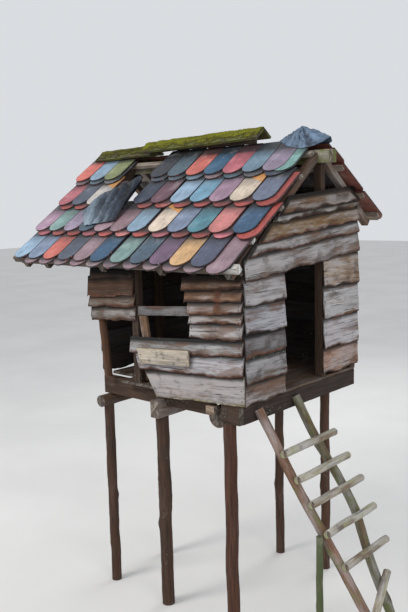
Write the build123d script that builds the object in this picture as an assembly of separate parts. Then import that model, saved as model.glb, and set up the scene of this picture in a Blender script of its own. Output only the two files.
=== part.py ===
from build123d import *
from math import asin, atan, cos, degrees, radians, sin, tan
import os

os.makedirs("parts", exist_ok=True)

# A small tree house on log posts. Lengths in mm.
# It is drawn from its front right wall corner at floor level: +X along the front wall to the right,
# +Y to the rear, +Z up. Each piece is then moved so that the origin lies on the foot of the front
# right post.

# Clearance where two pieces rest on or against each other
seat = 0.3

# Walls: rough boards, each lapping the one below
wall_length = 1440
wall_depth = 1370
wall_skin = 26
board_thickness = 15
board_lap = 18
board_waver = 5
board_waves = (97, 41)
board_facet = 115
board_clearance = 2
foot_stand = 6
corner_cover = 30
front_head = 795
front_tilt = 4.0
gable_tilt = 4.5
gable_stand = 24

# Upper and lower edges of the boards on each wall, from the lowest board up
front_lower_seams = (0, 172, 300, 405)
front_right_seams = (412, 502, 566, 638, 716)
front_left_seams = (512, 612, 686, 818)
right_near_seams = (-15, 125, 283, 430, 606, 800)
right_far_seams = (22, 205, 415, 632, 868)
gable_seams = (752, 893, 968, 1072, 1112, 1225)
left_lower_seams = (18, 160, 300, 430, 565, 690)
left_upper_boards = 3
left_peak = 1275
rear_seams = (-10, 140, 285, 440, 580, 735, 880, 1020, 1150)

# Where boards end. Front wall: x at the lower and upper edge of each lower board, then how far the
# others reach past or stop short of the window and the left corner. Right wall: how far they stop
# short of the doorway or reach past it.
front_lower_ends = (((-774, -3), (-900, -3)), ((-920, -6), (-982, -4)), ((-1017, -2), (-1012, -6)))
front_right_past = (2, 6, 18, 40, 62)
front_right_end = -4
front_right_stand = 18
front_left_short = (22, 8, 0, 40)
window_left_short = (3, 2, 12, 8)
front_right_over = 10
front_left_over = 105
near_starts = (30, 34, 30, 36, 32)
near_short = (6, 0, 3, 2, 0)
far_past = (0, 5, 3, 0)
corner_past = (2, -3, 0, 2)

# Doorway in the right wall, window in the front wall and the gap at its lower left corner
door_near = 458
door_width = 447
window_left = -940
window_right = -450
window_sill = 487
window_rail_depth = 66
window_rail_thickness = 24
window_stud_outline = ((24, -95), (94, -91), (78, 4), (4, 0))
window_stud_thickness = 22
corner_gap_height = 430
corner_gap_depth = 110
patch_outline = ((0, 0), (466, 2), (478, 110), (-5, 113))
patch_thickness = 20
patch_left = -882
patch_bottom = 230

# Wall frame
stud = 60
plate_width = 70
plate_depth = 45
corner_pole = 60
lean_foot_inset = 140
corner_lean = 75
mid_post_y = 650
far_post_inset = 5

# Floor
floor_height = 1600
floor_thickness = 22
floor_side_gap = 10
floor_board_gap = 4
floor_board_count = 10
short_board_count = 2
short_board_front = 190
joist_top = -10
joist_depth = 130
joist_width = 60
rim_thickness = 38
rim_depth = 116
nailer_side = 50
nailer_width = 72
nailer_front = 22
nailer_top = -44
nailer_depth = 60

# Posts and bearers
post_x = -168
post_y = 60
post_diameter = 86
left_post_x = -814
left_post_y = 105
left_post_diameter = 92
back_post_diameter = 72
back_posts_x = (-225, -655)
back_post_inset = 120
end_post_diameter = 76
end_post_inset = 68
end_posts_y = (110, 640)
log_diameter = 150
log_start = 80
log_drop = 42
mid_joist_y = 660
end_joist_y = 110
bearer_width = 80
bearer_depth = 122
bearer_bottom = -217
bearer_start = 30
end_bearer_diameter = 90

# Roof: plain tiles in two layers on each batten. Distances down a slope are along the tile faces.
roof_pitch = 38
eave_y = -139
eave_z = 865
slope_run = 1340
tile_width = 180
tile_length = 378
tile_thickness = 13
tail_rise = 70
tail_facet_count = 6
course_gauge = 312
under_drop = 44
head_gap = 26
front_right_edges = (-126, -39, -27, -150)
front_tile_count = (12, 12, 12, 11)
front_hole_count = ((7, 2), (7, 2), None, None)
front_end_tiles = (-66, None, None, None)
under_shifts = (28, 50, 60, 146)
rear_first_tail = 300
rear_right_edges = (-4, -20, -10)
rear_tile_count = (13, 12, 12)
rear_hole_count = (None, None, None)
rear_end_tiles = (None, None, None)
rafter_depth = 50
rafter_width = 55
rafters_x = (-86, -655, -1225, -1850, -2105)
rafter_tail = 30
batten_depth = 24
batten_width = 45
batten_end = 15
hole_left = -1700
hole_right = -1375
eave_board_width = 46
eave_board_back = 72
eave_board_start = 60
eave_board_end = 34
beam_width = 90
beam_depth = 90
beam_rise = 20
beam_left = -2250
beam_right = 60
cap_width = 105
cap_thickness = 20
cap_left = -2250
cap_joint = -1600
cap_lap = 100
cap_right = -515
cap_rise = 1.6
ridge_lath_left = -1380
ridge_lath_inset = 70
ridge_lath_width = 24
sheet_thickness = 3
sheet_left = -383
sheet_right = 40
sheet_front_edge = ((-262, 40), (-132, 83), (-45, 62), (8, 16))
sheet_rear_edge = ((20, 20), (-60, 66), (-170, 88), (-300, 46))
sheet_peak_x = -189
sheet_peak_height = 88
flashing_contact = 704
flashing_outline = (
    (-1400, 440), (-1362, 470), (-1390, 560), (-1390, 726), (-1322, 916),
    (-1455, 945), (-1612, 974), (-1770, 808), (-1720, 690), (-1630, 625), (-1430, 605),
)

# Ladder. Bends of the two branches as (y, z) from the head down; rungs as z and the y of both ends.
ladder_lean = 0.526
ladder_head_z = -45
ladder_head_out = 18
stringer_diameter = 50
stringer_bend = 300
rung_thickness = 36
left_branch = ((161, -45), (220, -530), (300, -900), (360, -1255))
left_foot_y = 430
right_branch = ((564, -45), (600, -400), (650, -560), (690, -760), (630, -990), (590, -1360))
right_foot_y = 560
rung_places = (
    (-305, 240, 730),
    (-460, 327, 765),
    (-610, 285, 805),
    (-785, 295, 810),
    (-980, 300, 790),
    (-1420, 320, 700),
)
loose_rung_place = (-1205, 360, 660)
loose_rung_slip = 150
prop_diameter = 45
prop_top = -800


def save(name, *solids):
    """Writes a named piece, moved from the wall corner to the foot of the front right post."""
    moved = [Pos(-post_x, -post_y, floor_height) * solid for solid in solids]
    export_step(moved[0] if len(moved) == 1 else Compound(moved), f"parts/{name}.step")


def block(x, y, z):
    """A squared timber between its limits along each axis."""
    corner = (Align.MIN, Align.MIN, Align.MIN)
    return Pos(x[0], y[0], z[0]) * Box(x[1] - x[0], y[1] - y[0], z[1] - z[0], align=corner)


def placed(plane, place):
    """A plane moved and turned within itself."""
    return Plane(plane.location * place)


def sheet(outline, plane, thickness):
    """A flat piece with its outline on the plane and its thickness along the normal."""
    face = plane * make_face(Polyline(*outline, close=True).edges())
    return extrude(face, amount=thickness, dir=plane.z_dir)


def across(outline, x):
    """A piece with a constant (y, z) section between two x limits."""
    return sheet(outline, Plane(origin=(x[0], 0, 0), x_dir=(0, 1, 0), z_dir=(1, 0, 0)), x[1] - x[0])


def pole(start, end, diameter):
    """A straight round pole."""
    axis = Vector(*end) - Vector(*start)
    on_end = (Align.CENTER, Align.CENTER, Align.MIN)
    return Plane(origin=start, z_dir=axis) * Cylinder(diameter / 2, axis.length, align=on_end)


# Posts, bearers and joists

back_post_y = wall_depth - back_post_inset
end_post_x = -wall_length + end_post_inset
joist_bottom = joist_top - joist_depth
floor_top = joist_top + floor_thickness
frame_right = -wall_skin - board_clearance
rim_left = frame_right - rim_thickness
log_x = post_x - (post_diameter + log_diameter) / 2 - seat
log_z = joist_top - log_drop - log_diameter / 2
log_end = back_post_y - max(joist_width, back_post_diameter) / 2 - seat
end_bearer_z = joist_bottom - end_bearer_diameter / 2 - seat
frame_rear = wall_depth - wall_skin


def post(x, y, top, diameter):
    return pole((x, y, -floor_height), (x, y, top - seat), diameter)


def end_pole(start, diameter):
    return pole((end_post_x, start, end_bearer_z), (end_post_x, frame_rear, end_bearer_z), diameter)


end_bearer = end_pole(bearer_start, end_bearer_diameter)
saddle = end_pole(0, end_bearer_diameter + 2 * seat)
end_posts = [post(end_post_x, y, end_bearer_z, end_post_diameter) - saddle for y in end_posts_y]
back_posts = [post(x, back_post_y, joist_bottom, back_post_diameter) for x in back_posts_x]
save("front_right_post", post(post_x, post_y, joist_bottom, post_diameter))
save("front_left_post", post(left_post_x, left_post_y, bearer_bottom, left_post_diameter))
save("back_posts", *back_posts)
save("end_posts", *end_posts)
save("log_bearers", end_bearer, pole((log_x, log_start, log_z), (log_x, log_end, log_z), log_diameter))

bearer_left = left_post_x - bearer_width / 2
bearer_right = left_post_x + bearer_width / 2
bearer_top = bearer_bottom + bearer_depth
bearer_ends = (bearer_start, frame_rear)
save("squared_bearer", block((bearer_left, bearer_right), bearer_ends, (bearer_bottom, bearer_top)))

joist_left = -wall_length + wall_skin
log_side = log_diameter / 2 + seat
notch_sides = (bearer_left - seat, bearer_right + seat)
notch = block(notch_sides, (0, wall_depth), (bearer_bottom, bearer_top + seat))


def joist(left, right, y):
    return block((left, right), (y, y + joist_width), (joist_bottom, joist_top))


rim_gap = rim_left - seat
back_joist_y = back_post_y - joist_width / 2
joists = [
    joist(joist_left, log_x - log_side, end_joist_y) - notch,
    joist(joist_left, log_x - log_side, mid_joist_y) - notch,
    joist(log_x + log_side, rim_gap, post_y - joist_width / 2),
    joist(log_x + log_side, rim_gap, mid_joist_y),
    joist(joist_left, rim_gap, back_joist_y) - notch,
]
nailer_sides = (log_x - nailer_side, log_x - nailer_side + nailer_width)
nailer_heights = (nailer_top - nailer_depth, nailer_top)
save("floor_joists", *joists, block(nailer_sides, (nailer_front, log_start - seat), nailer_heights))
rim_heights = (joist_top - rim_depth, joist_top)
save("side_rim", block((rim_left, frame_right), (wall_skin, frame_rear), rim_heights))

floor_left = joist_left + floor_side_gap
floor_pitch = (frame_right - floor_left + floor_board_gap) / floor_board_count
floor_heights = (joist_top + seat, floor_top)
floor_boards = []
for n in range(floor_board_count):
    right = frame_right - n * floor_pitch
    left = right - floor_pitch + floor_board_gap
    is_short = n >= floor_board_count - short_board_count
    start = short_board_front if is_short else wall_skin
    floor_boards.append(block((left, right), (start, frame_rear - floor_board_gap), floor_heights))
save("floor_boards", *floor_boards)

# Roof lines: places on a slope are given down from the ridge and out from the top of the rafters.
# The tiles lie a little flatter than the rafters, so that each course rests on the next.

pitch = radians(roof_pitch)
tile_tilt = asin(2 * (tile_thickness + seat) / course_gauge)
layer = (tile_thickness + seat) / cos(tile_tilt)
tail_out = batten_depth + seat + (tile_length - under_drop) * tan(tile_tilt) + 2 * layer
ridge_y = eave_y + slope_run * cos(pitch)
ridge_z = eave_z + slope_run * sin(pitch) - tail_out / cos(pitch)
face_shift = tail_out * tan(pitch)
front, rear = -1, 1


def on_slope(side, down, out):
    """The (y, z) place of a point on one slope of the roof."""
    y = ridge_y + side * (down * cos(pitch) + out * sin(pitch))
    z = ridge_z - down * sin(pitch) + out * cos(pitch)
    return y, z


def along_slope(side, x, down, out):
    """A timber along X lying on the slope, between limits down the slope and out from the rafters."""
    corners = [(down[0], out[0]), (down[1], out[0]), (down[1], out[1]), (down[0], out[1])]
    return across([on_slope(side, *corner) for corner in corners], x)


def slope_plane(side, down, out, tilt=0.0):
    """A plane on the slope with X along the ridge; its Y axis points to the rear on either side."""
    y, z = on_slope(side, down, out)
    angle = pitch - tilt
    return Plane(origin=(0, y, z), x_dir=(1, 0, 0), z_dir=(0, side * sin(angle), cos(angle)))


def tile_row(side, right_edge, count, head, tail, lift):
    """Tiles side by side in one layer, with rounded tails."""
    length = (tail - head) / cos(tile_tilt)
    radius = ((tile_width / 2) ** 2 + tail_rise**2) / (2 * tail_rise)
    half_angle = asin(tile_width / 2 / radius)
    outline = [(right_edge - count * tile_width, 0), (right_edge, 0)]
    for n in range(count):
        middle = right_edge - (n + 0.5) * tile_width
        for k in range(0 if n == 0 else 1, tail_facet_count + 1):
            angle = half_angle * (1 - 2 * k / tail_facet_count)
            outline.append((middle + radius * sin(angle), length - radius + radius * cos(angle)))
    outline = [(x, side * down) for x, down in outline]
    return sheet(outline, slope_plane(side, head, batten_depth + seat + lift, tile_tilt), tile_thickness)


def short_tile_lift(length):
    """How much higher the head of a tile cut shorter lies, for its tail to stay where it is."""
    return (tile_length - length) * tan(tile_tilt)


def tile_course(side, right_edge, count, tail, length, under_shift, hole, end_tile):
    """Two layers on one batten: the lower one hangs a little lower and is shifted sideways.

    Right of a hole the tiles are not cut short. An end tile is pushed in under the last one.
    """
    runs = [(0, count, length)]
    if hole:
        runs = [(0, hole[0], tile_length), (sum(hole), count - sum(hole), length)]
    rows = []
    for start, number, run_length in runs:
        edge = right_edge - start * tile_width
        upper_head = tail - run_length
        lower_head = upper_head + under_drop
        lower_lift = short_tile_lift(run_length)
        upper_lift = lower_lift + layer - under_drop * tan(tile_tilt)
        rows.append(tile_row(side, edge + under_shift, number, lower_head, tail + under_drop, lower_lift))
        upper_row = tile_row(side, edge, number, upper_head, tail, upper_lift)
        if end_tile and start == 0:
            upper_row += tile_row(side, end_tile, 1, upper_head, tail, upper_lift)
        rows.append(upper_row)
    return rows


def tile_lengths(tails):
    """Each course's tail and length: tiles are cut short where they would pass the ridge beam."""
    return [(tail, min(tile_length, tail - head_gap)) for tail in tails]


front_tails = [slope_run - face_shift - (3 - n) * course_gauge for n in range(4)]
rear_tails = [rear_first_tail - face_shift + n * course_gauge for n in range(3)]
front_layout = (front_right_edges, front_tile_count, under_shifts, front_hole_count, front_end_tiles)
rear_layout = (rear_right_edges, rear_tile_count, under_shifts, rear_hole_count, rear_end_tiles)
front_places = zip(*front_layout)
rear_places = zip(*rear_layout)
front_courses = [(*lengths, *place) for lengths, place in zip(tile_lengths(front_tails), front_places)]
rear_courses = [(*lengths, *place) for lengths, place in zip(tile_lengths(rear_tails), rear_places)]
for n, (tail, length, edge, count, shift, hole, end_tile) in enumerate(front_courses):
    rows = tile_course(front, edge, count, tail, length, shift, hole, end_tile)
    save(f"front_tile_course_{n + 1}", *rows)
for n, (tail, length, edge, count, shift, hole, end_tile) in enumerate(rear_courses):
    rows = tile_course(rear, edge, count, tail, length, shift, hole, end_tile)
    save(f"rear_tile_course_{n + 1}", *rows)

# Rafters, battens, ridge beam and wall plates

rafter_run = front_tails[-1] - rafter_tail
rear_run = rear_tails[-1] - rafter_tail
beam_side = beam_width / 2 + seat
beam_top = ridge_z - beam_side * tan(pitch) + beam_rise
front_plate_y = (wall_skin, wall_skin + plate_width)
rear_plate_y = (frame_rear - plate_width, frame_rear)


def rafter_underside(y):
    """Height of the rafters' lower face at a place across the house."""
    return ridge_z - abs(y - ridge_y) * tan(pitch) - rafter_depth / cos(pitch)


plate_bite = plate_depth / 3
front_plate_top = rafter_underside(wall_skin) + plate_bite
rear_plate_top = rafter_underside(frame_rear) + plate_bite


def plate(y, top, clearance=0.0):
    ends = (beam_left - clearance, frame_right + clearance)
    sides = (y[0] - clearance, y[1] + clearance)
    return block(ends, sides, (top - plate_depth - clearance, top + clearance))


def rafter(side, x, run, seat_cut):
    """A rafter from the ridge beam to the eave, cut plumb at the beam and notched over the plate."""
    top = on_slope(side, run, 0)
    low = on_slope(side, run, -rafter_depth)
    beam_y = ridge_y + side * beam_side
    head = ridge_z - beam_side * tan(pitch)
    section = [(beam_y, head), top, low, (beam_y, head - rafter_depth / cos(pitch))]
    return across(section, (x, x + rafter_width)) - seat_cut


front_seat = plate(front_plate_y, front_plate_top, seat)
rear_seat = plate(rear_plate_y, rear_plate_top, seat)
save("wall_plates", plate(front_plate_y, front_plate_top), plate(rear_plate_y, rear_plate_top))
save("front_rafters", *[rafter(front, x, rafter_run, front_seat) for x in rafters_x])
save("rear_rafters", *[rafter(rear, x, rear_run, rear_seat) for x in rafters_x])
beam_y = (ridge_y - beam_width / 2, ridge_y + beam_width / 2)
save("ridge_beam", block((beam_left, beam_right), beam_y, (beam_top - beam_depth, beam_top)))


def batten(side, x, upper_edge, packing=0.0):
    return along_slope(side, x, (upper_edge, upper_edge + batten_width), (seat, batten_depth + packing))


def eave_board(side, tail, length):
    """The thicker board that the lowest course rests on near its tails."""
    down = tail - eave_board_back
    out = batten_depth + seat + (down - (tail - length + under_drop)) * tan(tile_tilt)
    ends = (beam_left + eave_board_start, eave_board_end)
    return along_slope(side, ends, (down, down + eave_board_width), (seat, out - seat))


def course_battens(side, courses):
    """The eave board, and a batten under each course, cut where the roof's hole is widest."""
    battens = [eave_board(side, courses[-1][0], courses[-1][1])]
    last_rafter = rafters_x[0] + rafter_width
    for tail, length, edge, count, shift, hole, _ in courses:
        upper_edge = tail - length + under_drop
        left = edge - count * tile_width + batten_end
        right = max(edge + shift, last_rafter) - batten_end
        spans = [(left, right)]
        if hole and length == tile_length:
            spans = [(left, hole_left), (hole_right, right)]
        battens += [batten(side, span, upper_edge, short_tile_lift(length)) for span in spans]
    return battens


front_battens = course_battens(front, front_courses)
rear_battens = course_battens(rear, rear_courses)
save("front_battens", *front_battens)
save("rear_battens", *rear_battens)

# Ridge caps: two boards in an inverted V, in two lengths that rise a little to the right. The left
# length rests on the tiles at its left end, the right one on the left one and on a block.

first_tails = {front: front_tails[0], rear: rear_tails[0]}


def tile_face(side, down):
    """How far out the upper face of the first course lies at a place down the slope."""
    return tail_out + seat - (first_tails[side] - down) * tan(tile_tilt)


def meeting(outs, angle):
    """The (y, z) line where planes on both slopes meet, each given by its height over the rafters."""
    heights = {}
    for side, out in outs.items():
        y, z = on_slope(side, 0, out)
        heights[side] = z + abs(y - ridge_y) * tan(angle)
    offset = (heights[rear] - heights[front]) / (2 * tan(angle))
    return ridge_y + offset, heights[front] + offset * tan(angle)


def cap_edge(side):
    """Where the lower edge of a cap board rests: how far down, and how far out."""
    slope = tan(tile_tilt)
    out = (tile_face(side, 0) + cap_width * slope) / (1 + tan(pitch) * slope)
    return cap_width - out * tan(pitch), out


cap_downs = {side: cap_edge(side)[0] for side in (front, rear)}
cap_outs = {side: cap_edge(side)[1] for side in (front, rear)}
cap_y, cap_z = meeting(cap_outs, pitch)


def cap_board(side, x):
    """One side of the ridge cap, cut plumb where it meets the other side."""
    y = cap_y + side * seat / 2
    z = cap_z - seat / 2 * tan(pitch)
    inner, outer = cap_outs[side], cap_outs[side] + cap_thickness
    down = cap_downs[side]
    section = [(y, z), on_slope(side, down, inner), on_slope(side, down, outer)]
    section.append((y, z + cap_thickness / cos(pitch)))
    return across(section, x)


def risen(piece, lift=0.0):
    """A piece of the ridge turned up to the right about the left end of the caps."""
    turned = Pos(cap_left, 0, cap_z + lift) * Rot(0, -cap_rise, 0)
    return turned * Pos(-cap_left, 0, -cap_z) * piece


cap_lift = (cap_thickness + seat) / cos(pitch)
left_caps = [risen(cap_board(side, (cap_left, cap_joint))) for side in (front, rear)]
right_caps = [risen(cap_board(side, (cap_joint - cap_lap, cap_right)), cap_lift) for side in (front, rear)]
save("ridge_caps", *left_caps, *right_caps)

# Lath below the right caps, sheet draped over the open end of the ridge, and flashing

sheet_outs = {side: tile_face(side, 0) for side in (front, rear)}
sheet_y, sheet_z = meeting(sheet_outs, pitch - tile_tilt)


def ridge_lath():
    """A lath on edge along the ridge, from the tiles up to the underside of the rising caps."""
    reach = ridge_lath_width / 2
    low = sheet_z + seat
    tile_drop = reach * tan(pitch - tile_tilt)
    high = cap_z + 2 * cap_width
    section = [(sheet_y - reach, low - tile_drop), (sheet_y, low), (sheet_y + reach, low - tile_drop)]
    section += [(sheet_y + reach, high), (sheet_y - reach, high)]
    below = cap_z - 2 * cap_width * tan(pitch)
    apex = (cap_y, cap_z - seat)
    under_caps = across([(cap_y - 2 * cap_width, below), apex, (cap_y + 2 * cap_width, below)], (cap_left, 0))
    return across(section, (ridge_lath_left, cap_right - ridge_lath_inset)) & risen(under_caps, cap_lift)


save("ridge_lath", ridge_lath())


def on_tiles(x, side, down):
    """A point on the upper face of the first course."""
    y, z = on_slope(side, down, tile_face(side, down) + seat)
    return x, y, z


sheet_ring = [(sheet_left, sheet_y, sheet_z + 2 * seat)]
sheet_ring += [on_tiles(x, front, down) for x, down in sheet_front_edge]
sheet_ring += [(sheet_right, sheet_y, sheet_z + 2 * seat)]
sheet_ring += [on_tiles(x, rear, down) for x, down in sheet_rear_edge]
sheet_peak = (sheet_peak_x, sheet_y, sheet_z + sheet_peak_height)


def fold(start, end):
    """One flat part of the sheet, from its peak down to its edge."""
    face = make_face(Polyline(sheet_peak, start, end, close=True).edges())
    return extrude(face, amount=sheet_thickness, dir=(0, 0, 1))


folds = [fold(start, end) for start, end in zip(sheet_ring, sheet_ring[1:] + sheet_ring[:1])]
save("ridge_sheet", folds[0].fuse(*folds[1:]))

flashing = [(x, front * (down - face_shift)) for x, down in flashing_outline]
flashing_out = tail_out + 2 * seat - (front_tails[1] + face_shift - flashing_contact) * tan(tile_tilt)
save("roof_flashing", sheet(flashing, slope_plane(front, 0, flashing_out), sheet_thickness))

# Wall frame

left_face = -wall_length + wall_skin
right_studs = (-wall_skin - seat - stud, -wall_skin - seat)
front_studs = (wall_skin + seat, wall_skin + seat + stud)
rear_studs = (frame_rear - seat - stud, frame_rear - seat)
stud_foot = floor_top + seat
front_stud_head = front_plate_top - plate_depth - seat
rear_stud_head = rear_plate_top - plate_depth - seat
left_studs = (left_face + seat, left_face + seat + stud)
left_mid_y = (mid_post_y, mid_post_y + stud)
left_mid_top = left_peak
save(
    "corner_posts",
    block(right_studs, front_studs, (stud_foot, front_stud_head)),
    block(right_studs, rear_studs, (stud_foot, rear_stud_head)),
    block(left_studs, rear_studs, (stud_foot, rear_stud_head)),
    block(left_studs, left_mid_y, (stud_foot, left_mid_top)),
)
lean_y = wall_skin + seat + corner_pole / 2
lean_foot_x = -wall_length + lean_foot_inset
lean_foot = (lean_foot_x, lean_y, 0)
lean_head = (lean_foot_x - corner_lean, lean_y, front_head)
leaning_post = pole(lean_foot, lean_head, corner_pole)
kept_height = block((-2 * wall_length, 0), (0, wall_depth), (stud_foot, front_stud_head))
save("leaning_corner_post", leaning_post & kept_height)

door_far = door_near + door_width


def door_post(y):
    """A post of the doorway, from the floor up to the rafter or the ridge beam."""
    outline = [(y, stud_foot), (y + stud, stud_foot)]
    outline += [(y + stud, rafter_underside(y + stud) - seat), (y, rafter_underside(y) - seat)]
    return across(outline, right_studs)


far_post_top = beam_top - beam_depth - seat
far_post_sides = (door_far, ridge_y + beam_width / 2 - far_post_inset)
far_post = block(right_studs, far_post_sides, (stud_foot, far_post_top))
save("door_posts", door_post(door_near - stud), far_post)

window_posts = [
    block((window_left - stud, window_left), front_studs, (stud_foot, front_stud_head)),
    block((window_right, window_right + stud), front_studs, (stud_foot, front_stud_head)),
]
save("window_posts", *window_posts)

front_slope = tan(radians(front_tilt))
rail_ends = (window_left + seat, window_right - seat)
rail_rise = (rail_ends[1] - rail_ends[0]) * front_slope
rail_plane = Plane(origin=(0, wall_skin + window_rail_thickness, 0), x_dir=(1, 0, 0), z_dir=(0, -1, 0))
rail_outline = [
    (rail_ends[0], window_sill),
    (rail_ends[1], window_sill + rail_rise),
    (rail_ends[1], window_sill + rail_rise + window_rail_depth),
    (rail_ends[0], window_sill + window_rail_depth),
]
save("window_rail", sheet(rail_outline, rail_plane, window_rail_thickness))
stud_outline = [(window_left + x, window_sill - seat + z) for x, z in window_stud_outline]
save("window_stud", sheet(stud_outline, rail_plane, window_stud_thickness))

# Lapped boards: each leans back from its lower edge, which stands out over the board below


def wall_plane(origin, along, outward, tilt):
    """A wall's stud face, turned in its own plane where its boards slope."""
    return placed(Plane(origin=origin, x_dir=along, z_dir=outward), Rot(0, 0, tilt))


def waver(seed, u):
    long_wave, short_wave = board_waves
    return board_waver * (0.6 * sin(u / long_wave + 1.7 * seed) + 0.4 * sin(u / short_wave + 2.9 * seed))


def rough_board(plane, low, high, stand, lower_ends, upper_ends, seed):
    """One board with a wavering lower edge; its ends are given at its lower and upper edges."""
    lean = atan(stand / (high - low))
    width = (high - low) / cos(lean)
    steps = max(2, round((lower_ends[1] - lower_ends[0]) / board_facet))
    outline = []
    for k in range(steps + 1):
        u = lower_ends[0] + (lower_ends[1] - lower_ends[0]) * k / steps
        outline.append((u, waver(seed, u)))
    outline += [(upper_ends[1], width), (upper_ends[0], width)]
    face = placed(plane, Pos(0, low, stand + seat) * Rot(-degrees(lean), 0, 0))
    return sheet(outline, face, board_thickness)


def board_stand(height, last_lean, lap):
    """How far a board's lower edge must stand out to clear the board below it."""
    thickness = board_thickness / cos(last_lean) + 2 * seat
    over_top = thickness / (1 - lap / height)
    over_edge = thickness + (lap + board_waver) * tan(last_lean)
    return max(over_top, over_edge)


def board_rows(seams, first_stand=foot_stand):
    """The lower edge, upper edge and stand of each board, lowest first."""
    rows = []
    last_lean = 0
    for low, high in zip(seams, seams[1:]):
        if high != seams[-1]:
            high += board_lap
        stand = board_stand(high - low, last_lean, board_lap) if rows else first_stand
        last_lean = atan(stand / (high - low))
        rows.append((low, high, stand))
    return rows


def lapped_boards(plane, seams, ends, tilt=0.0, first_stand=foot_stand):
    """Boards between the seams, lowest first, with the ends of each at its lower and upper edge."""
    boards = []
    for (low, high, stand), (lower, upper) in zip(board_rows(seams, first_stand), ends):
        lower_u = [(x + low * sin(radians(tilt))) / cos(radians(tilt)) for x in lower]
        upper_u = [(x + high * sin(radians(tilt))) / cos(radians(tilt)) for x in upper]
        boards.append(rough_board(plane, low, high, stand, lower_u, upper_u, low / 37))
    return boards


front_face = wall_plane((0, wall_skin, 0), (1, 0, 0), (0, -1, 0), front_tilt)
right_face = wall_plane((-wall_skin, 0, 0), (0, 1, 0), (1, 0, 0), 0)
gable_face = wall_plane((-wall_skin, 0, 0), (0, 1, 0), (1, 0, 0), gable_tilt)
left_plane = wall_plane((left_face, wall_depth, 0), (0, -1, 0), (-1, 0, 0), 0)
rear_face = wall_plane((0, frame_rear, 0), (-1, 0, 0), (0, 1, 0), 0)


def square_ends(starts, stops):
    """Ends of boards that are as long at their upper edge as at their lower one."""
    return [(place, place) for place in zip(starts, stops)]


under_eave = block((beam_left, wall_depth), (-wall_depth, wall_depth), (joist_bottom, front_head))
right_starts = [window_right - past for past in front_right_past]
right_ends = square_ends(right_starts, [front_right_end] * len(right_starts))
left_starts = [short - wall_length for short in front_left_short]
left_ends = square_ends(left_starts, [window_left - short for short in window_left_short])
front_right_rows = front_right_seams + (front_head + front_right_over,)
front_left_rows = front_left_seams + (front_head + front_left_over,)
front_right = lapped_boards(front_face, front_right_rows, right_ends, front_tilt, front_right_stand)
front_left = lapped_boards(front_face, front_left_rows, left_ends, front_tilt)
front_lower = lapped_boards(front_face, front_lower_seams, front_lower_ends, front_tilt)
save("front_boards_lower", *front_lower)
save("front_boards_right", *[board & under_eave for board in front_right])
save("front_boards_left", *[board & under_eave for board in front_left])

# New board nailed over the seam between the two upper ones of the lower front wall

middle_row, upper_row = board_rows(front_lower_seams)[1:]
middle_share = (middle_row[1] - patch_bottom) / (middle_row[1] - middle_row[0])
patch_stand = middle_row[2] * middle_share + board_thickness + 3 * seat
seam_stand = upper_row[2] + board_thickness + 3 * seat
patch_lean = atan((seam_stand - patch_stand) / (upper_row[0] - board_waver - patch_bottom))
patch_place = Pos(patch_left, patch_bottom, patch_stand) * Rot(degrees(patch_lean), 0, 0)
save("patch_board", sheet(patch_outline, placed(front_face, patch_place), patch_thickness))

# Right wall, beside and over the doorway, then the left and rear walls

far_end = wall_depth + board_clearance
roof_line = ridge_z - board_clearance
near_ends = square_ends(near_starts, [door_near - short for short in near_short])
far_starts = [door_far + past for past in far_past]
far_ends = square_ends(far_starts, [wall_depth + past for past in corner_past])
gable_count = len(gable_seams) - 1
gable_ends = square_ends([corner_cover] * gable_count, [far_end] * gable_count)
under_rafters = across(
    [
        (corner_cover, joist_bottom),
        (corner_cover, roof_line - (ridge_y - corner_cover) * tan(pitch)),
        (ridge_y, roof_line),
        (far_end, roof_line - (far_end - ridge_y) * tan(pitch)),
        (far_end, joist_bottom),
    ],
    (beam_left, beam_right),
)
gable_boards = lapped_boards(gable_face, gable_seams, gable_ends, gable_tilt, gable_stand)
save("right_boards_near", *lapped_boards(right_face, right_near_seams, near_ends))
save("right_boards_far", *lapped_boards(right_face, right_far_seams, far_ends))
save("right_gable_boards", *[board & under_rafters for board in gable_boards])

# The left wall's upper seams lie just over the undersides of the plates, which pass through them
over_underside = board_waver + board_clearance - plate_depth
upper_pitch = (rear_plate_top - front_plate_top) / left_upper_boards
lowest = front_plate_top + over_underside
upper_seams = [lowest + k * upper_pitch for k in range(left_upper_boards + 1)]
left_seams = (*left_lower_seams, *upper_seams, left_peak)
left_starts = [corner_cover if high > corner_gap_height else corner_gap_depth for high in left_seams[1:]]
left_stops = [wall_depth - start for start in left_starts]
left_ends = square_ends([-board_clearance] * len(left_starts), left_stops)
left_boards = lapped_boards(left_plane, left_seams, left_ends)
save("left_wall_boards", *[(board & under_rafters) - front_seat - rear_seat for board in left_boards])
rear_count = len(rear_seams) - 1
rear_ends = square_ends([corner_cover] * rear_count, [wall_length - corner_cover] * rear_count)
save("rear_wall_boards", *lapped_boards(rear_face, rear_seams, rear_ends))

# Ladder: two branches as stringers, rungs nailed on their upper side, and a prop

ladder_angle = atan(ladder_lean)
rung_out = (stringer_diameter + rung_thickness) / 2 + seat


def ladder_x(z):
    """How far right the ladder's branches are at a height."""
    return frame_right + ladder_head_out + ladder_lean * (ladder_head_z - z)


def stringer(bends):
    """A branch through (y, z) bends, cut plumb at the side rim and level at the ground."""
    points = [(ladder_x(z), y, z) for y, z in bends]
    path = FilletPolyline(*points, radius=stringer_bend)
    section = Plane(origin=path @ 0, z_dir=path % 0) * Circle(stringer_diameter / 2)
    branch = sweep(section, path=path)
    reach = points[-1][0] + stringer_diameter
    ground = (-floor_height - 3 * stringer_diameter, -floor_height)
    below = block((frame_right, reach), (0, wall_depth), ground)
    rim_face = (frame_right - stringer_diameter, frame_right + seat)
    behind = block(rim_face, (0, wall_depth), (joist_bottom, 0))
    return branch - below - behind


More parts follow.
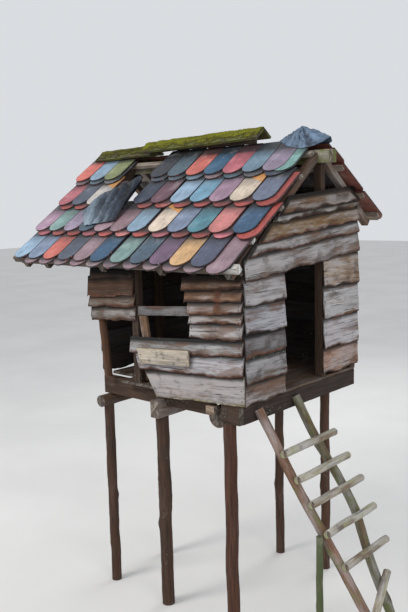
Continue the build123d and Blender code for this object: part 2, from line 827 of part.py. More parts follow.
def branch_y(bends, height):
    """How far from the front a stringer's axis lies at a height."""
    for (y, z), (next_y, next_z) in zip(bends, bends[1:]):
        if next_z <= height <= z:
            return y + (next_y - y) * (z - height) / (z - next_z)


def rung(z, start, end, slip=0.0):
    """A rung on the stringers: slip is how much lower its near end hangs."""
    x = ladder_x(z - rung_out * sin(ladder_angle)) + rung_out * cos(ladder_angle)
    drop = slip / 2
    near_end = (x + drop * ladder_lean, start, z - drop)
    return pole(near_end, (x - drop * ladder_lean, end, z + drop), rung_thickness)


ladder_foot = -floor_height - stringer_diameter
left_bends = (*left_branch, (left_foot_y, ladder_foot))
right_bends = (*right_branch, (right_foot_y, ladder_foot))
save("ladder_stringers", stringer(left_bends), stringer(right_bends))
save("ladder_rungs", *[rung(*place) for place in rung_places])
save("loose_rung", rung(*loose_rung_place, slip=loose_rung_slip))
prop_x = ladder_x(prop_top)
prop_y = branch_y(left_bends, prop_top) - (stringer_diameter + prop_diameter) / 2 - 2 * seat
save("ladder_prop", pole((prop_x, prop_y, -floor_height), (prop_x, prop_y, prop_top), prop_diameter))
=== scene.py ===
from itertools import combinations
from math import asin, atan2, cos, exp, pi, radians, sin, tan
from random import Random

import bmesh
import bpy
import numpy as np
from mathutils import Matrix, Vector, noise


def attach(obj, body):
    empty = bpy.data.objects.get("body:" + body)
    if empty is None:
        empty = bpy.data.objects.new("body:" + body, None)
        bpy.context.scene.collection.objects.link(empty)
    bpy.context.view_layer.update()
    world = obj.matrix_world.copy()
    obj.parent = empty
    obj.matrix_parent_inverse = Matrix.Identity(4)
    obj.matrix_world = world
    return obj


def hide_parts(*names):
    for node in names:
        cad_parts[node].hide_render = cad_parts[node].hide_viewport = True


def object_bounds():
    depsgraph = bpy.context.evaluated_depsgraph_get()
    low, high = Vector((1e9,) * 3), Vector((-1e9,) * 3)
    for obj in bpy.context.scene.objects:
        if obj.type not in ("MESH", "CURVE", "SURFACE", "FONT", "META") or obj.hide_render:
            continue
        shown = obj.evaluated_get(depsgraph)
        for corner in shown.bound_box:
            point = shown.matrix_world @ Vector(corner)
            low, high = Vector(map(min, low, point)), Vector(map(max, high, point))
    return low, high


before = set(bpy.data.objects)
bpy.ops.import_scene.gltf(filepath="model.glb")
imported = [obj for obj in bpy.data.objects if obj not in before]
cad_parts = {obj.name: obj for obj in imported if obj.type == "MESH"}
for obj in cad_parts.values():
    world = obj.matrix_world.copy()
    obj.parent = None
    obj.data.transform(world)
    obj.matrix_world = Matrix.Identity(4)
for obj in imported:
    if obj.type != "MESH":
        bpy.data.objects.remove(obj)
cad_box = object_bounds()
scene = bpy.context.scene

# The frame's origin is at the foot of the front right post. Wall and roof sizes are given from the
# front right wall corner at floor level.
WALL_CORNER = Vector((0.168, -0.06, 1.6))
X, Y, Z = Vector((1, 0, 0)), Vector((0, 1, 0)), Vector((0, 0, 1))


def clamped(value):
    return max(0.0, min(1.0, value))


# Colours


def linear(colour):
    """An sRGB colour of 0 to 255 as linear light."""
    parts = [c / 255 for c in colour]
    return [c / 12.92 if c <= 0.04045 else ((c + 0.055) / 1.055) ** 2.4 for c in parts]


def shaded(colour, factor):
    return tuple(min(255, c * factor) for c in colour)


def blended(tone, other, share):
    return tuple(a + (b - a) * share for a, b in zip(tone, other))


# Materials


class Nodes:
    """The pattern of one material: noise in the grain's own directions, ramps and mixed colours."""

    def __init__(self, name):
        self.material = bpy.data.materials.new(name)
        self.material.use_nodes = True
        self.tree = self.material.node_tree
        for mark, output in (("grain", "Vector"), ("tone", "Color"), ("edge", "Fac"), ("end", "Fac")):
            setattr(self, mark, self.add("Attribute", {}, output, attribute_name=mark))

    def fill(self, node, sockets):
        for key, value in sockets.items():
            if isinstance(value, bpy.types.NodeSocket):
                self.tree.links.new(value, node.inputs[key])
            else:
                node.inputs[key].default_value = value

    def add(self, kind, sockets, output=0, **settings):
        node = self.tree.nodes.new("ShaderNode" + kind)
        for key, value in settings.items():
            setattr(node, key, value)
        self.fill(node, sockets)
        return node.outputs[output]

    def noise(self, scale, detail=4.0, rough=0.6):
        """Noise at one scale, or at three: along the grain, across it and from piece to piece."""
        place = self.grain
        if isinstance(scale, tuple):
            place = self.add("VectorMath", {0: place, 1: scale}, operation="MULTIPLY")
            scale = 1.0
        return self.add("TexNoise", {"Vector": place, "Scale": scale, "Detail": detail, "Roughness": rough})

    def spots(self, scale, rim, core):
        """Round spots, from the distance of their rims to that of their cores."""
        return self.ramp(self.add("TexVoronoi", {"Vector": self.grain, "Scale": scale}), rim, core)

    def ramp(self, factor, low, high, start=0.0, end=1.0):
        sockets = {"Value": factor, 1: low, 2: high, 3: start, 4: end}
        return self.add("MapRange", sockets, interpolation_type="SMOOTHSTEP")

    def math(self, operation, a, b=0.0):
        return self.add("Math", {0: a, 1: b}, operation=operation)

    def plus(self, a, b):
        return self.math("ADD", a, b)

    def times(self, a, b):
        return self.math("MULTIPLY", a, b)

    def mix(self, share, a, b, blend="MIX"):
        a, b = (c if isinstance(c, bpy.types.NodeSocket) else (*linear(c), 1) for c in (a, b))
        return self.add("Mix", {0: share, 6: a, 7: b}, 2, data_type="RGBA", blend_type=blend)

    def dimmed(self, colour, shade):
        """A colour times a grey of the given lightness."""
        grey = self.add("CombineColor", {0: shade, 1: shade, 2: shade})
        return self.mix(1.0, colour, grey, "MULTIPLY")

    def cover(self, share, colour):
        """Lays a share of a colour over what is there so far."""
        self.colour = self.mix(share, self.colour, colour)

    def finish(self, roughness, height, strength, depth, specular):
        bump = self.add("Bump", {"Height": height, "Strength": strength, "Distance": depth})
        sockets = {"Base Color": self.colour, "Roughness": roughness, "Normal": bump}
        sockets["Specular IOR Level"] = specular
        self.fill(self.tree.nodes["Principled BSDF"], sockets)
        return self.material


def wood_material(name, silver, dark_lines=0.7, growth=0.0, grown=None, bump=0.5):
    """Weathered wood: grain along the piece, silvered and brown patches, checks, rough edges, growth."""
    n = Nodes(name)
    light = n.add("RGBToBW", {0: n.tone})
    fibre = n.noise((9, 240, 1), 5, 0.65)
    bands = n.noise((3.4, 52, 1), 5, 0.62)
    patches = n.noise((3.4, 13, 1), 6)
    stains = n.noise((5.5, 8, 1.7), 5)
    flakes = n.ramp(n.noise((24, 70, 1)), 0.4, 0.6, 0.0, 0.75)
    checks = n.ramp(n.noise((4, 95, 1), 3, 0.5), 0.36, 0.32)

    shade = n.plus(n.ramp(fibre, 0.25, 0.75, 0.66, 1.16), n.ramp(bands, 0.32, 0.68, -0.3, 0.26))
    silvered = n.times(n.ramp(patches, 0.44, 0.62, 0.0, silver), n.ramp(light, 0.03, 0.15))
    browned = n.times(n.ramp(patches, 0.5, 0.37, 0.0, 0.6), n.ramp(light, 0.02, 0.1))
    n.colour = n.mix(silvered, n.dimmed(n.tone, shade), (176, 174, 177))
    n.cover(browned, (102, 70, 48))
    n.cover(n.ramp(stains, 0.55, 0.66, 0.0, 0.5), (60, 50, 46))
    n.cover(n.times(checks, dark_lines), (30, 22, 18))
    n.cover(n.times(n.edge, flakes), (46, 30, 24))

    from_heart = n.add("VectorMath", {0: n.grain}, "Value", operation="LENGTH")
    wobble = n.times(n.noise(30.0, 2), 0.006)
    rings = n.math("SINE", n.times(n.plus(from_heart, wobble), 900.0))
    cracks = n.ramp(n.noise(55.0, 3), 0.47, 0.5, 0.35, 0.0)
    ring_shade = n.math("SUBTRACT", n.ramp(rings, -1.0, 1.0, 0.7, 1.05), cracks)
    ring_shade = n.times(ring_shade, n.ramp(light, 0.0, 0.16, 0.35, 1.0))
    sawn = n.mix(n.ramp(n.noise(18.0), 0.35, 0.65), (104, 90, 80), (150, 140, 130))
    n.cover(n.end, n.dimmed(sawn, ring_shade))

    if growth:
        bare, covered = 0.62 - growth * 0.3, 0.78 - growth * 0.3
        n.cover(n.ramp(n.noise((7, 9, 1), 6, 0.7), bare, covered, 0.0, 0.85), grown)
    lichen = n.times(n.spots(70.0, 0.32, 0.22), n.ramp(patches, 0.56, 0.66))
    n.cover(n.times(lichen, 0.35), (168, 176, 150))

    height = n.plus(n.times(fibre, 0.45), n.times(bands, 0.5))
    height = n.math("SUBTRACT", height, n.times(checks, 0.6))
    height = n.plus(height, n.times(rings, n.times(n.end, 0.08)))
    return n.finish(n.ramp(fibre, 0.2, 0.8, 0.74, 0.95), height, bump, 0.006, 0.25)


DIPPED_HEAD = (222, 154, 74)


def tile_material():
    """Coloured engobed clay: soft satin, mottled, darker at the rims from dirt and painted shade, with dust
    and a few chips.
    """
    n = Nodes("clay_tiles")
    soft = n.noise(9.0, 5)
    streak = n.noise((70, 7, 1), 4, 0.55)
    fine = n.noise(260.0, 3)
    stains = n.noise(26.0, 6, 0.7)
    tone = n.mix(n.ramp(n.end, 0.252, 0.264), n.tone, DIPPED_HEAD)
    shade = n.plus(n.ramp(soft, 0.3, 0.7, 0.56, 0.86), n.ramp(streak, 0.3, 0.7, -0.1, 0.1))
    n.colour = n.mix(0.1, n.dimmed(tone, shade), (118, 120, 126))
    n.cover(n.ramp(stains, 0.52, 0.76, 0.0, 0.5), (64, 56, 54))
    n.cover(n.ramp(soft, 0.55, 0.75, 0.0, 0.22), (190, 188, 186))
    # Dark rims: partly dirt, partly painted shade on the tiles' thickness and joints
    n.cover(n.ramp(n.edge, 0.12, 0.85, 0.0, 0.9), (22, 20, 22))
    chips = n.times(n.ramp(n.noise(90.0, 3), 0.6, 0.66), n.ramp(n.edge, 0.25, 0.8))
    n.cover(n.times(chips, 0.8), (168, 84, 62))
    lichen = n.times(n.spots(38.0, 0.2, 0.12), n.ramp(stains, 0.5, 0.6))
    n.cover(n.times(lichen, 0.5), (172, 176, 158))
    height = n.plus(n.times(fine, 0.25), n.times(soft, 0.9))
    return n.finish(n.ramp(stains, 0.3, 0.7, 0.42, 0.62), height, 0.35, 0.004, 0.4)


def sheet_material(name, contrast, dust, crease, rough):
    """Old sheeting: dusty in patches, with painted shade in its creases."""
    n = Nodes(name)
    cloudy = n.noise(14.0, 6, 0.65)
    n.colour = n.dimmed(n.tone, n.ramp(cloudy, 0.3, 0.7, 1 - contrast, 1 + contrast))
    # Painted shade in the creases, where the edge mark is low
    n.cover(n.ramp(n.edge, 0.0, 0.5, 0.85, 0.0), crease)
    n.cover(n.ramp(n.noise(45.0, 5, 0.7), 0.6, 0.75, 0.0, 0.5), dust)
    height = n.plus(cloudy, n.times(n.noise(300.0, 3), 0.15))
    return n.finish(n.ramp(cloudy, 0.3, 0.7, rough, rough + 0.25), height, 0.6, 0.008, 0.4)


def moss_material():
    """Tufted moss, olive and withered in patches, dark at its roots."""
    n = Nodes("moss")
    tufts = n.noise(160.0, 5, 0.7)
    patches = n.noise(22.0)
    n.colour = n.mix(n.ramp(tufts, 0.4, 0.62), (62, 66, 22), n.tone)
    n.cover(n.ramp(patches, 0.42, 0.6, 0.0, 0.6), (104, 108, 36))
    n.cover(n.ramp(patches, 0.45, 0.32, 0.0, 0.5), (92, 80, 48))
    n.cover(n.ramp(n.edge, 0.1, 0.8, 0.8, 0.0), (56, 48, 32))
    return n.finish(n.ramp(tufts, 0.3, 0.7, 0.85, 1.0), tufts, 1.0, 0.012, 0.1)


def iron_material():
    """Nail heads, dark with rust."""
    n = Nodes("nail_iron")
    rust = n.noise(400.0, 4, 0.7)
    n.colour = n.mix(n.ramp(rust, 0.35, 0.65), (38, 34, 34), (104, 58, 36))
    return n.finish(n.ramp(rust, 0.3, 0.7, 0.5, 0.85), rust, 0.4, 0.001, 0.5)


MATERIALS = dict(
    boards=wood_material("weathered_boards", 0.5),
    new_board=wood_material("new_board", 0.2, dark_lines=0.35, growth=0.22, grown=(70, 72, 76)),
    timber=wood_material("old_timber", 0.3),
    dark_timber=wood_material("dark_timber", 0.12, dark_lines=0.6),
    mossy_timber=wood_material("mossy_timber", 0.15, growth=0.7, grown=(92, 98, 44)),
    log=wood_material("log_wood", 0.2, bump=0.7),
    branch=wood_material("branch_wood", 0.35, growth=0.4, grown=(104, 112, 66), bump=0.7),
    green_branch=wood_material("green_branch", 0.2, growth=0.9, grown=(76, 88, 58), bump=0.7),
    rung=wood_material("rung_wood", 0.6, dark_lines=0.5, growth=0.45, grown=(150, 152, 112)),
    tiles=tile_material(),
    rubber=sheet_material("rubber_sheet", 0.4, (104, 118, 134), (9, 11, 17), 0.3),
    blue_sheet=sheet_material("ridge_sheet", 0.42, (138, 166, 196), (24, 34, 50), 0.45),
    moss=moss_material(),
    iron=iron_material(),
)


# Meshes with their own grain direction and colour

# What each point carries besides its place
MARKS = (
    ("grain", "FLOAT_VECTOR", "vector"),
    ("tone", "FLOAT_COLOR", "color"),
    ("edge", "FLOAT", "value"),
    ("end", "FLOAT", "value"),
)


class Shape:
    """Points and faces, with each point's place in the grain, its tone, and edge and end shares."""

    def __init__(self):
        self.points = []
        self.marks = []
        self.faces = []

    def point(self, place, grain, tone, edge=0.0, end=0.0):
        self.points.append(tuple(place))
        self.marks.append((tuple(grain), (*linear(tone), 1.0), edge, end))
        return len(self.points) - 1

    def grid(self, columns, rows, point_at, *more):
        """Columns and rows of points, each made from its column and row numbers."""
        rings = range(columns + 1)
        return [[self.point(*point_at(k, j, *more)) for j in range(rows + 1)] for k in rings]

    def loft(self, rings, closed=True):
        for ring, after in zip(rings, rings[1:]):
            count = len(ring)
            for k in range(count if closed else count - 1):
                m = (k + 1) % count
                self.faces.append((ring[k], ring[m], after[m], after[k]))

    def solid_loft(self, rings):
        """A body through rings of points, with a flat face at each end."""
        self.loft(rings)
        self.faces += [rings[0], rings[-1]]

    def fan(self, ring, hub):
        for n, index in enumerate(ring):
            self.faces.append((index, ring[(n + 1) % len(ring)], hub))

    def made(self, name, material, smooth=40):
        mesh = bpy.data.meshes.new(name)
        mesh.from_pydata(self.points, [], self.faces)
        mesh.validate()
        for (key, kind, field), values in zip(MARKS, zip(*self.marks)):
            layer = mesh.attributes.new(key, kind, "POINT")
            layer.data.foreach_set(field, np.array(values, np.float32).ravel())
        mesh.shade_smooth()
        bm = bmesh.new()
        bm.from_mesh(mesh)
        bmesh.ops.recalc_face_normals(bm, faces=bm.faces)
        bm.to_mesh(mesh)
        bm.free()
        mesh.set_sharp_from_angle(angle=radians(smooth))
        mesh.materials.append(MATERIALS[material])
        made = bpy.data.objects.new(name, mesh)
        scene.collection.objects.link(made)
        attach(made, "root")
        return made


class Plane:
    """A flat face's own axes: u along it, v across it, and its normal."""

    def __init__(self, face, along):
        self.face = face
        self.normal = face.normal.copy()
        self.u_axis = (along - self.normal * along.dot(self.normal)).normalized()
        self.v_axis = self.normal.cross(self.u_axis)
        self.origin = face.verts[0].co.copy()

    def flat(self, vert):
        offset = vert.co - self.origin
        return offset.dot(self.u_axis), offset.dot(self.v_axis)

    def outline(self):
        """The face's edges, and the places of all their ends along and across it."""
        edges = [tuple(self.flat(v) for v in e.verts) for e in self.face.edges]
        return edges, *zip(*(p for edge in edges for p in edge))

    def at(self, u, v, out):
        return self.origin + self.u_axis * u + self.v_axis * v + self.normal * out


def stands_for(made, node):
    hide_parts(node)
    return made


def solids(node):
    """Each solid of a CAD node as a mesh of its own, with flat faces joined, lowest first."""
    whole = bmesh.new()
    whole.from_mesh(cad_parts[node].data)
    bmesh.ops.remove_doubles(whole, verts=whole.verts, dist=1e-5)
    whole.verts.index_update()
    found = []
    left = list(whole.verts)
    while left:
        group = left[:1]
        for vert in group:
            beside = [e.other_vert(vert) for e in vert.link_edges]
            group += [v for v in beside if v not in group]
        left = [v for v in left if v not in group]
        piece = bmesh.new()
        copies = {v.index: piece.verts.new(v.co) for v in sorted(group, key=lambda v: v.index)}
        for face in whole.faces:
            if face.verts[0].index in copies:
                piece.faces.new([copies[v.index] for v in face.verts])
        piece.normal_update()
        bmesh.ops.dissolve_limit(piece, angle_limit=radians(0.4), verts=piece.verts, edges=piece.edges)
        found.append(piece)
    whole.free()
    return sorted(found, key=lambda b: sum(v.co.z for v in b.verts) / len(b.verts))


def long_axis(piece):
    """The middle of a piece, its long direction and two directions across it."""
    points = np.array([v.co for v in piece.verts])
    middle = points.mean(0)
    _, directions = np.linalg.eigh(np.cov((points - middle).T))
    along = Vector(directions[:, 2]).normalized()
    if max(along, key=abs) < 0:
        along = -along
    helper = Z if abs(along.z) < 0.8 else X
    side = along.cross(helper).normalized()
    return Vector(middle), along, side, along.cross(side)


def noise_at(x, y=0.0, z=0.0):
    return noise.noise(Vector((x, y, z)))


def sloped(axis, degrees_up):
    return axis * cos(radians(degrees_up)) + Z * sin(radians(degrees_up))


def outer_face(piece, outward):
    return max(piece.faces, key=lambda f: f.calc_area() * (f.normal.dot(outward) > 0.5))


# Rough boards with wavering, bark-edged lower sides

BOARD_STEP = 0.016
BOARD_ROW = 0.013
END_GAP = 0.0003
END_WEAR = 0.003
COARSE_RELIEF = 0.0013
FINE_RELIEF = 0.001
CUPPING = 0.0022
# How dark the board backs are painted, as painted shade inside the house
BACK_SHADE = 0.38
# How much of a board's top the one above hides, and how far and how dark the painted shade below it is
LAP_HIDDEN = 0.022
LAP_SHADE_REACH = 0.026
LAP_SHADE_DARK = 0.72
BARK_WIDTH = 0.02
BARK_WAVER = 0.012
BARK_TONES = [(88, 54, 40), (62, 42, 34), (106, 66, 48), (74, 54, 44), (56, 40, 34)]
SAWN_WAVER = 0.001
SAWN_EDGE = (156, 142, 96)
STAIN_TONE = (100, 62, 46)
STAIN_HALF_WIDTH = 0.026
STAIN_WAVER = 0.016
NAIL_INSET = 0.03
NAIL_TONE = (60, 50, 46)


def board_span(edges, u):
    """The lowest and highest edge of a board's outline at a place along it."""
    hits = []
    for (u0, v0), (u1, v1) in edges:
        if u0 != u1 and (u0 - u) * (u1 - u) <= 0:
            hits.append(v0 + (v1 - v0) * (u - u0) / (u1 - u0))
    return min(hits), max(hits)


def board_into(shape, piece, along, outward, tone, seed, nails, bark, waver, bark_tone=None, stain_at=None):
    """A rough board on the outline of a solid, and its nails; bark is 1 for a barked edge, else 0."""
    plane = Plane(outer_face(piece, outward), along)
    if plane.v_axis.z < 0:
        plane.v_axis.negate()
    depth = max((plane.origin - v.co).dot(plane.normal) for v in piece.verts)
    edges, us, vs = plane.outline()
    start, stop = min(us) + END_GAP, max(us) - END_GAP
    steps = max(4, round((stop - start) / BOARD_STEP))
    rows = max(6, round((max(vs) - min(vs)) / BOARD_ROW))
    bark_tone = bark_tone or BARK_TONES[int(seed * 7) % len(BARK_TONES)]
    rings = []
    for k in range(steps + 1):
        u = start + (stop - start) * k / steps
        low, high = board_span(edges, u)
        width = high - low
        waves = 0.35 + 1.5 * noise_at(u * 6.5, seed * 3.1) + 0.6 * noise_at(u * 21, seed * 5.3)
        trim = min(0.3 * width, max(-0.8, waves) * waver)
        wane = depth * min(0.85, 0.6 + 0.5 * noise_at(u * 5, seed * 7.7)) * bark
        bark_width = BARK_WIDTH * (0.9 + noise_at(u * 8, seed * 1.9))
        ring = []
        for j in range(rows + 1):
            v = low + trim + (width - trim) * (j / rows) ** 1.35
            share = max(0.0, 1 - (v - low - trim) / bark_width)
            relief = COARSE_RELIEF * (1 + noise_at(u * 5, v * 55, seed))
            relief += FINE_RELIEF * (1 + noise_at(u * 17, v * 150, seed))
            cup = CUPPING * (1 + noise_at(u * 2.2, v * 9, seed + 4))
            back = wane * share**1.3 + relief + cup
            worn = END_WEAR * (1 + noise_at(v * 40, seed * 2.7, k)) if k in (0, steps) else 0.0
            inset = worn if k == 0 else -worn
            place = plane.at(u + inset, v, -min(back, depth * 0.85))
            bark_share = min(1.0, 1.5 * share) * bark
            # Painted shade darkens each board's top just below the lap of the board above
            lap_shade = clamped(1 - (high - v - LAP_HIDDEN) / LAP_SHADE_REACH) * bark
            here = shaded(blended(tone, bark_tone, bark_share), 1 - LAP_SHADE_DARK * lap_shade)
            if stain_at is not None:
                off = abs(u - start - stain_at + STAIN_WAVER * noise_at(v * 45, seed)) / STAIN_HALF_WIDTH
                here = blended(here, STAIN_TONE, max(0.0, min(0.9, 1.7 - 1.2 * off)))
            ring.append(shape.point(place, (u, v, seed), here, bark_share if bark else 0.25 * share))
        # The back of the board, painted dark as painted shade inside the house
        for v, inward in ((high, depth), ((low + high) / 2, depth), (low + trim, depth * 0.97)):
            place = plane.at(u, v, -inward)
            ring.append(shape.point(place, (u, v + 0.4, seed), shaded(tone, BACK_SHADE)))
        rings.append(ring)
    shape.solid_loft(rings)
    rnd = Random(int(seed * 10))
    for at in (NAIL_INSET, stop - start - NAIL_INSET):
        for up in (0.25, 0.62):
            k = round((at + rnd.uniform(-0.008, 0.008)) / (stop - start) * steps)
            place = Vector(shape.points[rings[k][round(up * rows)]])
            nail_into(nails, place, plane.normal, rnd.uniform(0.0038, 0.0052))


def nail_into(shape, place, normal, radius):
    """A slightly domed nail head."""
    side = normal.orthogonal().normalized()
    other = normal.cross(side)
    rings = []
    for share, height in ((0.9, -0.002), (1.0, 0.0008), (0.75, 0.0018), (0.3, 0.0023)):
        ring = []
        for k in range(9):
            angle = 2 * pi * k / 9
            spot = place + (side * cos(angle) + other * sin(angle)) * radius * share + normal * height
            ring.append(shape.point(spot, spot, NAIL_TONE))
        rings.append(ring)
    shape.solid_loft(rings)


FRONT_SLOPE = sloped(X, 4.0)
GABLE_SLOPE = sloped(Y, 4.5)
# Each wall's boards, lowest first: the direction along them, the outward one, and their tones
BOARDS = dict(
    front_boards_lower=(FRONT_SLOPE, -Y, [(149, 139, 134), (163, 160, 163), (149, 147, 146)]),
    front_boards_right=(FRONT_SLOPE, -Y, [
        (173, 168, 166), (141, 129, 122), (145, 135, 131), (124, 97, 79), (116, 87, 66),
    ]),
    # The top two left boards are darkened beyond their own brown by painted shade from the eave
    front_boards_left=(FRONT_SLOPE, -Y, [(106, 94, 85), (102, 83, 68), (73, 54, 42), (65, 49, 37)]),
    right_boards_near=(Y, X, [
        (122, 110, 104), (118, 115, 114), (90, 85, 86), (149, 149, 155), (150, 146, 146),
    ]),
    right_boards_far=(Y, X, [(155, 127, 113), (171, 166, 168), (169, 166, 165), (153, 137, 123)]),
    right_gable_boards=(GABLE_SLOPE, X, [
        (141, 134, 131), (141, 133, 129), (122, 99, 72), (153, 144, 134), (112, 95, 81),
    ]),
    left_wall_boards=(Y, -X, [
        (137, 123, 113), (151, 145, 142), (126, 111, 100), (149, 141, 138), (141, 125, 115),
    ]),
    rear_wall_boards=(X, Y, [
        (149, 137, 130), (135, 121, 113), (155, 148, 146), (129, 113, 104), (149, 143, 140),
    ]),
)

# Where a rusty stain crosses a board, from its left end
STAINED_FROM_LEFT = {("front_boards_right", 3): 0.29, ("front_boards_right", 2): 0.275}

nails = Shape()
for number, (node, (along, outward, tones)) in enumerate(BOARDS.items()):
    shape = Shape()
    for n, piece in enumerate(solids(node)):
        seed = number * 10 + n + 0.5
        tone = tones[n % len(tones)]
        sawn = node == "front_boards_lower" and n == 0
        rim = (SAWN_WAVER, SAWN_EDGE) if sawn else (BARK_WAVER, None, STAINED_FROM_LEFT.get((node, n)))
        board_into(shape, piece, along, outward, tone, seed, nails, 1.0, *rim)
    stands_for(shape.made(node + "_rough", "boards"), node)

shape = Shape()
for piece in solids("patch_board"):
    board_into(shape, piece, FRONT_SLOPE, -Y, (178, 166, 148), 90.5, nails, 0.0, SAWN_WAVER)
stands_for(shape.made("patch_board_new", "new_board"), "patch_board")
nails.made("board_nails", "iron")


# Squared timbers with worn edges

TIMBER_STEP = 0.06
TIMBER_DENT = 0.0015
TIP_LENGTH = 0.14
WHITE_TIP = (206, 206, 202)
STUD_REACH = Vector((0.012, 0.0, -0.07))


def timber_into(shape, piece, tone, seed, wear, tip_tone=None):
    """A squared timber on a solid's shape: edges worn round, faces slightly uneven, a tip painted."""
    middle, along, side, up = long_axis(piece)
    reach = [(v.co - middle).dot(along) for v in piece.verts]
    low, high = min(reach), max(reach)
    count = max(1, round((high - low) / TIMBER_STEP))
    for k in range(1, count):
        at = middle + along * (low + (high - low) * k / count)
        everything = [*piece.verts, *piece.edges, *piece.faces]
        bmesh.ops.bisect_plane(piece, geom=everything, plane_co=at, plane_no=along)
    sharp = [e for e in piece.edges if len(e.link_faces) == 2 and e.calc_face_angle(0) > radians(30)]
    bmesh.ops.bevel(
        piece, geom=sharp, offset=wear, segments=2, profile=0.6, affect="EDGES", clamp_overlap=True
    )
    piece.normal_update()
    piece.verts.index_update()
    first = len(shape.points)
    bright = 1.0 + 0.06 * noise_at(seed * 3.3)
    for v in piece.verts:
        offset = v.co - middle
        a, b, c = offset.dot(along), offset.dot(side), offset.dot(up)
        dent = TIMBER_DENT * (1 + noise_at(a * 11, (b + c) * 30, seed))
        at_end = min(a - low, high - a) < wear * 0.4
        place = v.co if at_end else v.co - v.normal * dent
        grain = (0.0, b, c) if at_end else (a, b + c, seed)
        here = blended(tone, tip_tone or tone, clamped(1.6 * (1 - (high - a) / TIP_LENGTH)))
        shape.point(place, grain, shaded(here, bright), 0.0, float(at_end and not tip_tone))
    shape.faces += [tuple(first + v.index for v in face.verts) for face in piece.faces]


def behind_board(piece):
    """Lets the window's short stud reach down behind the board below it."""
    middle = sum(v.co.z for v in piece.verts) / len(piece.verts)
    for v in piece.verts:
        if v.co.z < middle:
            v.co += STUD_REACH


JOIST_TONES = [(72, 56, 46), (66, 52, 44), (78, 62, 50), (70, 56, 46), (66, 52, 42), (150, 130, 112)]
# Node, material, tones of its pieces in turn, wear of the edges
TIMBERS = dict(
    squared_bearer=("timber", [(118, 104, 94)], 0.006),
    floor_joists=("dark_timber", JOIST_TONES, 0.004),
    side_rim=("dark_timber", [(58, 48, 44)], 0.004),
    floor_boards=("timber", [(92, 76, 64), (84, 70, 60), (98, 82, 70)], 0.002),
    wall_plates=("timber", [(112, 100, 90), (120, 108, 98)], 0.004),
    front_rafters=("timber", [(86, 70, 60), (78, 64, 54)], 0.003),
    rear_rafters=("timber", [(112, 96, 84), (120, 104, 90)], 0.003),
    ridge_beam=("mossy_timber", [(132, 126, 108)], 0.006),
    front_battens=("timber", [(92, 78, 66), (138, 126, 110), (128, 114, 98)], 0.002),
    rear_battens=("timber", [(158, 148, 134), (140, 124, 108)], 0.002),
    # The caps' dark tones are partly their old dark wood, partly painted shade
    ridge_caps=("mossy_timber", [(72, 68, 58), (66, 62, 52)], 0.003),
    ridge_lath=("dark_timber", [(78, 64, 54)], 0.002),
    corner_posts=("dark_timber", [(70, 54, 44)], 0.004),
    door_posts=("dark_timber", [(86, 56, 40), (66, 50, 40)], 0.004),
    window_posts=("dark_timber", [(64, 50, 42)], 0.004),
    window_rail=("timber", [(92, 88, 88)], 0.009),
    window_stud=("timber", [(118, 92, 72)], 0.003),
)
for number, (node, (material, tones, wear)) in enumerate(TIMBERS.items()):
    shape = Shape()
    for n, piece in enumerate(solids(node)):
        if node == "window_stud":
            behind_board(piece)
        tip_tone = WHITE_TIP if node == "front_battens" and n in (0, 1) else None
        timber_into(shape, piece, tones[n % len(tones)], 200 + number * 12 + n, wear, tip_tone)
    stands_for(shape.made(node + "_worn", material, 32), node)


# Round poles, logs and branches


def smooth_path(points):
    """Cuts the corners of a line of points three times, keeping its ends."""
    for _ in range(3):
        cut = [points[0]]
        for a, b in zip(points, points[1:]):
            cut += [a.lerp(b, 0.25), a.lerp(b, 0.75)]
        points = cut + [points[-1]]
    return points


def spaced(points, step):
    """Points at even steps along a line of points."""
    lengths = np.cumsum([0.0] + [(b - a).length for a, b in zip(points, points[1:])])
    at = np.linspace(0.0, lengths[-1], max(2, round(lengths[-1] / step)) + 1)
    return [Vector(p) for p in zip(*(np.interp(at, lengths, axis) for axis in np.array(points).T))]


BRANCH_STEP = 0.025


def branch_into(shape, path, radius, tone, seed, wander, relief, knots, sides=22, flat=0.0):
    """A round piece along a path: uneven, with bark ridges and knots, sawn flat at both ends."""
    centres = spaced(path, BRANCH_STEP)
    last = len(centres) - 1
    total = last * BRANCH_STEP
    rnd = Random(int(seed * 7))
    swellings = [
        (rnd.uniform(0.15, 0.85) * total, rnd.uniform(0, 2 * pi), rnd.uniform(0.12, 0.26))
        for _ in range(knots)
    ]
    side = (centres[1] - centres[0]).orthogonal().normalized()
    rings = []
    for k, centre in enumerate(centres):
        ahead = (centres[min(last, k + 1)] - centres[max(0, k - 1)]).normalized()
        side = (side - ahead * side.dot(ahead)).normalized()
        other = ahead.cross(side)
        s = k * BRANCH_STEP
        fade = sin(pi * k / last) ** 0.5 if 0 < k < last else 0.0
        astray = side * noise_at(s * 3, seed) + other * noise_at(s * 3, seed + 9)
        centre = centre + astray * wander * 2 * fade
        ring = []
        for i in range(sides):
            angle = 2 * pi * i / sides
            c, d = cos(angle), sin(angle)
            uneven = 1 + 0.07 * fade * noise_at(c * 0.9 + seed, d * 0.9, s * 6)
            ridge = relief * fade * noise_at(c * radius * 170 + seed, d * radius * 170, s * 16)
            r = radius * uneven + ridge - relief * 0.5
            for at, turn, size in swellings:
                around = (angle - turn + pi) % (2 * pi) - pi
                r += radius * size * exp(-((s - at) ** 2) / 0.0009 - around**2 / 0.22)
            r *= 1 - flat * max(0.0, d) ** 2
            place = centre + (side * c + other * d) * r
            ring.append(shape.point(place, (s, angle * radius, seed), tone))
        rings.append(ring)
    shape.loft(rings)
    for ring, centre in ((rings[0], centres[0]), (rings[-1], centres[-1])):
        rim = []
        for n, index in enumerate(ring):
            place = Vector(shape.points[index])
            out = (place - centre).length
            angle = 2 * pi * n / sides
            rim.append(shape.point(place, (0, cos(angle) * out, sin(angle) * out), tone, 0.0, 1.0))
        shape.fan(rim, shape.point(centre, (0, 0, 0), tone, 0.0, 1.0))


